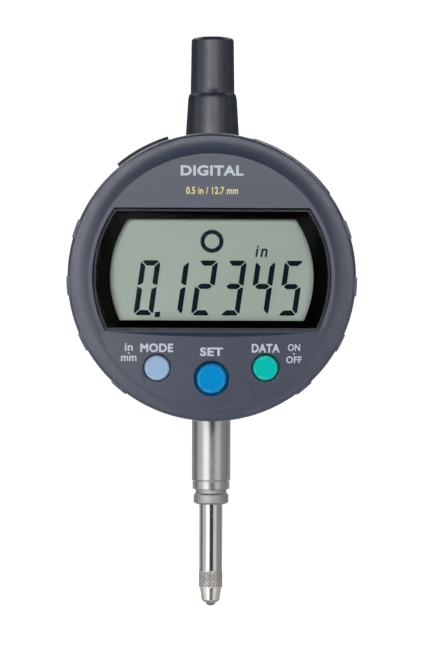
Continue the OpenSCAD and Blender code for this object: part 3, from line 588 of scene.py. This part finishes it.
FIGURE_W, FIGURE_H = 3.97 * MM, 11.05 * MM
STROKE = 1.06 * MM
CUT = 0.1 * MM  # half the gap between two segments
SLANT = math.tan(math.radians(8))
FIGURE_PITCH = 5.776 * MM
MIDDLE = 0.53  # height of the cross stroke, as a share of the figure's height
FIRST_FIGURE = (-15.76 * MM, -7.69 * MM)  # lower left corner of the first figure, from the display axis
DOT_PLACE, DOT_SIDE = (-11.5 * MM, -8.05 * MM), 1.06 * MM  # lower left corner, and side
RING_PLACE, RING_OUTER, RING_INNER = (0.02 * MM, 7.21 * MM), 2.33 * MM, 1.47 * MM
FILM = 0.012 * MM  # thickness of ink and figures
FILM_GAP = 0.003 * MM  # air between a film and what it lies on
LIT = {"0": "abcdef", "1": "bc", "2": "abdeg", "3": "abcdg", "4": "bcfg", "5": "acdfg"}


def segment_outline(name):
    """One segment of a figure, in its own upright frame with the lower left corner at the origin."""
    w, h, t, c = FIGURE_W, FIGURE_H, STROKE, CUT * 1.4
    mid, r = h * MIDDLE, 0.75 * MM

    def corner(start, stop):  # a quarter of the rounded outer corner, centred r inside it
        return [(r - r * math.cos(a), r - r * math.sin(a)) for a in
                (math.radians(start + (stop - start) * i / 4) for i in range(5))]

    lying = [(x + c, z) for x, z in corner(45, 90)]  # lower left end of the bottom segment
    lying += [(w - x, z) for x, z in reversed(lying)] + [(w - t - c, t), (t + c, t)]

    def upright(top):  # lower left segment, up to the middle of the cross stroke
        return ([(x, z + c) for x, z in reversed(corner(0, 45))]
                + [(0, top - c), (t * 0.55, top - c - t * 0.18), (t, top - t / 2 - c), (t, t + c)])

    cross = [(c + t * 0.35, mid), (t + c * 0.6, mid - t / 2), (w - t - c * 0.6, mid - t / 2),
             (w - c - t * 0.35, mid), (w - t - c * 0.6, mid + t / 2), (t + c * 0.6, mid + t / 2)]
    shapes = {
        "d": lying, "a": [(x, h - z) for x, z in lying], "g": cross,
        "e": upright(mid), "c": [(w - x, z) for x, z in upright(mid)],
        "f": [(x, h - z) for x, z in upright(h - mid)], "b": [(w - x, h - z) for x, z in upright(h - mid)],
    }
    return shapes[name]


def film(bm, outline, y):
    """A thin slab with this outline in the display's plane, its front at y."""
    front = [bm.verts.new((x, y, AXIS_Z + z)) for x, z in outline]
    back = [bm.verts.new((x, y + FILM, AXIS_Z + z)) for x, z in outline]
    bm.faces.new(front)
    bm.faces.new(back)
    for i in range(len(outline)):
        j = (i + 1) % len(outline)
        bm.faces.new((front[i], front[j], back[j], back[i]))


def ring_film(bm, centre, outer, inner, y, steps=64):
    """A flat ring with a small thickness."""
    x, z = centre
    rings = []
    for radius, depth in ((outer, y), (outer, y + FILM), (inner, y + FILM), (inner, y)):
        rings.append([bm.verts.new((x + radius * math.cos(a), depth, AXIS_Z + z + radius * math.sin(a)))
                      for a in (2 * math.pi * i / steps for i in range(steps))])
    for a, b in zip(rings, rings[1:] + rings[:1]):
        for i in range(steps):
            j = (i + 1) % steps
            bm.faces.new((a[i], a[j], b[j], b[i]))


def make_figures():
    y = low("lcd_glass").y - FILM - FILM_GAP
    bm = bmesh.new()

    def leaning(outline, left, bottom):
        film(bm, [(left + x + z * SLANT, bottom + z) for x, z in outline], y)

    for i, figure in enumerate("012345"):
        for name in LIT[figure]:
            leaning(segment_outline(name), FIRST_FIGURE[0] + i * FIGURE_PITCH, FIRST_FIGURE[1])
    leaning([(0, 0), (DOT_SIDE, 0), (DOT_SIDE, DOT_SIDE), (0, DOT_SIDE)], *DOT_PLACE)
    ring_film(bm, RING_PLACE, RING_OUTER, RING_INNER, y)
    piece_from(bm, "lcd_figures", "display", "mask_black", SEGMENT_INK, smooth=False)


make_figures()

# ---- printed lettering ---------------------------------------------------------------------------


def text_mesh(words, width, height, weight=0.04, shear=0.0, spacing=1.0):
    """Letters as a thin closed shell, centred on the origin and stretched to fill width by height."""
    curve = bpy.data.curves.new("letters", "FONT")
    curve.body = words
    curve.resolution_u = 6
    curve.shear = shear
    curve.space_character = spacing
    curve.bevel_depth = weight
    curve.bevel_resolution = 0
    holder = bpy.data.objects.new("letters", curve)
    SCENE.collection.objects.link(holder)
    mesh = bpy.data.meshes.new_from_object(holder.evaluated_get(bpy.context.evaluated_depsgraph_get()))
    bpy.data.objects.remove(holder)
    bpy.data.curves.remove(curve)
    spans = [(min(v.co[i] for v in mesh.vertices), max(v.co[i] for v in mesh.vertices)) for i in range(3)]
    for vertex in mesh.vertices:
        x, y, z = ((value - (start + stop) / 2) / (stop - start)
                   for value, (start, stop) in zip(vertex.co, spans))
        vertex.co = Vector((x * width, y * height, z))
    return mesh


def print_on(name, lines, material, slot, surface=None, y=None):
    """Lays lettering on the front of a node, or in a plane. A line is words, centre, size and style."""
    bm = bmesh.new()
    for words, x, z, width, height, style in lines:
        flat = text_mesh(words, width, height, **style)
        start = len(bm.verts)
        bm.from_mesh(flat)
        bpy.data.meshes.remove(flat)
        bm.verts.ensure_lookup_table()
        for vertex in bm.verts[start:]:
            px, pz = vertex.co.x + x, vertex.co.y + AXIS_Z + z
            depth = surface.ray_cast(Vector((px, -1, pz)), Vector((0, 1, 0)))[1].y if surface else y
            vertex.co = Vector((px, depth - FILM * (vertex.co.z + 0.5) - FILM_GAP, pz))
    bmesh.ops.remove_doubles(bm, verts=bm.verts, dist=0.0005 * MM)
    return piece_from(bm, name, "display", slot, material, smooth=False)


BOLD = {"weight": 0.036, "spacing": 1.08}
LIGHT = {"weight": 0.02, "spacing": 1.05}
LEANING = {"weight": 0.02, "shear": 0.2, "spacing": 1.25}
SIDE_WORD_Z, SET_WORD_Z = -14.2 * MM, -14.95 * MM  # heights of the buttons' names, from the display axis
MODE_X, DATA_X = -10.95 * MM, 10.85 * MM
UNIT_X, POWER_X = -16.55 * MM, 16.5 * MM  # the small two-line signs at the far left and right
SIGN_TOP_Z, SIGN_DOT_Z = -14.05 * MM, -15.3 * MM
WORD_H, SIGN_H, DOT_D = 1.75 * MM, 1.4 * MM, 0.36 * MM
PANEL = NODES["front_housing"]
print_on("button_print", [
    ("MODE", MODE_X, SIDE_WORD_Z, 6.55 * MM, WORD_H, BOLD),
    ("SET", 0.0, SET_WORD_Z, 4.6 * MM, WORD_H, BOLD),
    ("DATA", DATA_X, SIDE_WORD_Z, 5.6 * MM, WORD_H, BOLD),
    ("in", UNIT_X, SIGN_TOP_Z, 1.6 * MM, 1.55 * MM, LIGHT),
    ("mm", UNIT_X, -16.35 * MM, 3.1 * MM, 1.1 * MM, LIGHT),
    (".", UNIT_X, SIGN_DOT_Z, DOT_D, DOT_D, LIGHT),
    (".", POWER_X, SIGN_DOT_Z, DOT_D, DOT_D, LIGHT),
    ("ON", POWER_X, SIGN_TOP_Z, 2.45 * MM, SIGN_H, LIGHT),
    ("OFF", POWER_X, -16.5 * MM, 3.1 * MM, SIGN_H, LIGHT),
], LABEL_INK, "face_plastic", surface=PANEL)
print_on("name_print", [("DIGITAL", 0.0, 21.3 * MM, 12.6 * MM, 2.1 * MM, BOLD)],
         LABEL_INK, "face_plastic", surface=PANEL)
print_on("range_print", [("0.5 in / 12.7 mm", 0.0, 17.3 * MM, 10.4 * MM, 1.5 * MM, LIGHT)],
         GOLD_INK, "face_plastic", surface=PANEL)
print_on("lcd_unit", [("in", 9.94 * MM, 5.25 * MM, 2.5 * MM, 2.35 * MM, LEANING)],
         SEGMENT_INK, "mask_black", y=low("lcd_glass").y)

# ---- camera --------------------------------------------------------------------------------------

CAMERA_DISTANCE = 600 * MM  # from the spindle axis
FRAME_HEIGHT = 134.35 * MM  # what the picture's long side shows at that distance
CAMERA_SIDE, CAMERA_DROP = 0.28 * MM, 9.1 * MM  # to the right of, and below, the display axis
SENSOR = 36.0
CAMERA_ROLL = -0.22  # degrees


def make_camera():
    data = bpy.data.cameras.new("camera")
    data.sensor_width = SENSOR
    data.lens = SENSOR * CAMERA_DISTANCE / FRAME_HEIGHT
    data.clip_start, data.clip_end = 0.01, 20
    camera = bpy.data.objects.new("camera", data)
    camera.location = (CAMERA_SIDE, -CAMERA_DISTANCE, AXIS_Z - CAMERA_DROP)
    camera.rotation_euler = (math.radians(90), math.radians(CAMERA_ROLL), 0)
    SCENE.collection.objects.link(camera)
    SCENE.camera = camera


make_camera()

# ---- studio --------------------------------------------------------------------------------------

FLOOR_Z = TIP_Z - 70 * MM
FLOOR_GLOW = 0.45  # light the floor gives to everything but the camera


def panel_matrix(azimuth, elevation, distance):
    """A place round the display, azimuth from the camera's side towards -X, and the turn that faces it."""
    a, e = math.radians(azimuth), math.radians(elevation)
    away = Vector((-math.sin(a) * math.cos(e), -math.cos(a) * math.cos(e), math.sin(e)))
    return Vector((0, 0, AXIS_Z)) + away * distance, (-away).to_track_quat("-Z", "Y")


def softbox(name, azimuth, elevation, distance, width, height, radiance):
    """A soft panel light that faces the display."""
    data = bpy.data.lights.new(name, "AREA")
    data.shape = "RECTANGLE"
    data.size, data.size_y = width, height
    data.energy = radiance * math.pi * width * height
    light = bpy.data.objects.new(name, data)
    light.location, turn = panel_matrix(azimuth, elevation, distance)
    light.rotation_euler = turn.to_euler()
    light.visible_camera = False
    SCENE.collection.objects.link(light)


def flag(name, azimuth, elevation, distance, width, height):
    """A black card that the metal mirrors as a dark streak."""
    bm = bmesh.new()
    corners = ((-1, -1), (1, -1), (1, 1), (-1, 1))
    bm.faces.new([bm.verts.new((x * width / 2, y * height / 2, 0)) for x, y in corners])
    card = object_from(bm, name, new_material(name, (0.01, 0.01, 0.01), 0.9)[0])
    card.location, turn = panel_matrix(azimuth, elevation, distance)
    card.rotation_euler = turn.to_euler()
    card.visible_camera = False
    card.visible_shadow = False


def make_floor():
    """A wide pale floor that sweeps up into a backdrop."""
    sweep, reach, width = 0.8, 2.2, 4.0
    profile = [(-reach, 0.0), (reach, 0.0)]
    profile += [(reach + sweep * math.sin(a), sweep - sweep * math.cos(a))
                for a in (math.radians(90 * k / 16) for k in range(1, 17))]
    profile.append((reach + sweep, 3.0))
    bm = bmesh.new()
    rows = [[bm.verts.new((x, y, FLOOR_Z + z)) for x in (-width, width)] for y, z in profile]
    for a, b in zip(rows, rows[1:]):
        bm.faces.new((a[0], a[1], b[1], b[0]))
    material, tree, shader = new_material("floor", (0.5, 0.5, 0.5), 0.8)
    floor = object_from(bm, "floor", material, smooth=True)
    shader.inputs["Emission Color"].default_value = (1, 1, 1, 1)
    seen = add(tree, "LightPath").outputs["Is Camera Ray"]
    rise = add(tree, "SeparateXYZ", {0: add(tree, "TexCoord").outputs["Object"]}).outputs["Z"]
    glow = remap(tree, rise, FLOOR_Z, FLOOR_Z + 0.3, FLOOR_GLOW, 0.08)
    tree.links.new(maths(tree, "MAXIMUM", seen, glow), shader.inputs["Emission Strength"])
    cloud = noise(tree, in_mm(tree), 0.002, 3.0)
    tree.links.new(spread(tree, cloud, 0.75, 0.85), shader.inputs["Roughness"])
    floor.visible_glossy = False
    floor.visible_shadow = False


def make_world():
    """Pale to the eye. As a light it is grey below and dark overhead."""
    world = bpy.data.worlds.new("studio")
    SCENE.world = world
    world.use_nodes = True
    tree = world.node_tree
    background = tree.nodes["Background"]
    background.inputs["Color"].default_value = (0.96, 0.98, 1, 1)
    direction = add(tree, "TexCoord").outputs["Generated"]
    height = add(tree, "SeparateXYZ", {0: direction}).outputs["Z"]
    tree.links.new(remap(tree, height, -0.4, 0.2, 0.4, 0.07), background.inputs["Strength"])
    seen = add(tree, "Background", {"Color": (1, 1, 1, 1), "Strength": 1.0}).outputs[0]
    eye = add(tree, "LightPath").outputs["Is Camera Ray"]
    mixed = add(tree, "MixShader", {0: eye, 1: background.outputs[0], 2: seen})
    tree.links.new(mixed.outputs[0], tree.nodes["World Output"].inputs["Surface"])


softbox("key_left", 31, -4, 0.8, 0.5, 0.75, 2.4)
softbox("side_left", 70, -4, 0.8, 0.6, 0.75, 0.85)
softbox("side_right", -42, -4, 0.8, 0.5, 0.75, 1.0)
softbox("far_right", -84, -4, 0.8, 0.6, 0.75, 0.3)
softbox("top_front", 0, 13, 0.95, 0.9, 0.27, 4.7)
softbox("back_left", 135, -14, 0.8, 0.5, 0.3, 0.5)
softbox("back_right", -135, -14, 0.8, 0.5, 0.3, 0.5)
softbox("low_back", 180, -28, 0.8, 1.0, 0.4, 2.2)
softbox("high_back", 180, 42, 1.0, 1.0, 0.45, 4.0)
softbox("high_left", 112, 42, 1.0, 0.8, 0.4, 2.0)
softbox("high_right", -112, 42, 1.0, 0.8, 0.4, 1.6)
softbox("low_front", -4, -54, 0.7, 0.13, 0.1, 6.0)
flag("lens_flag", -5, -12, 0.75, 0.34, 0.5)
make_floor()
make_world()
SCENE.view_settings.view_transform = "Standard"
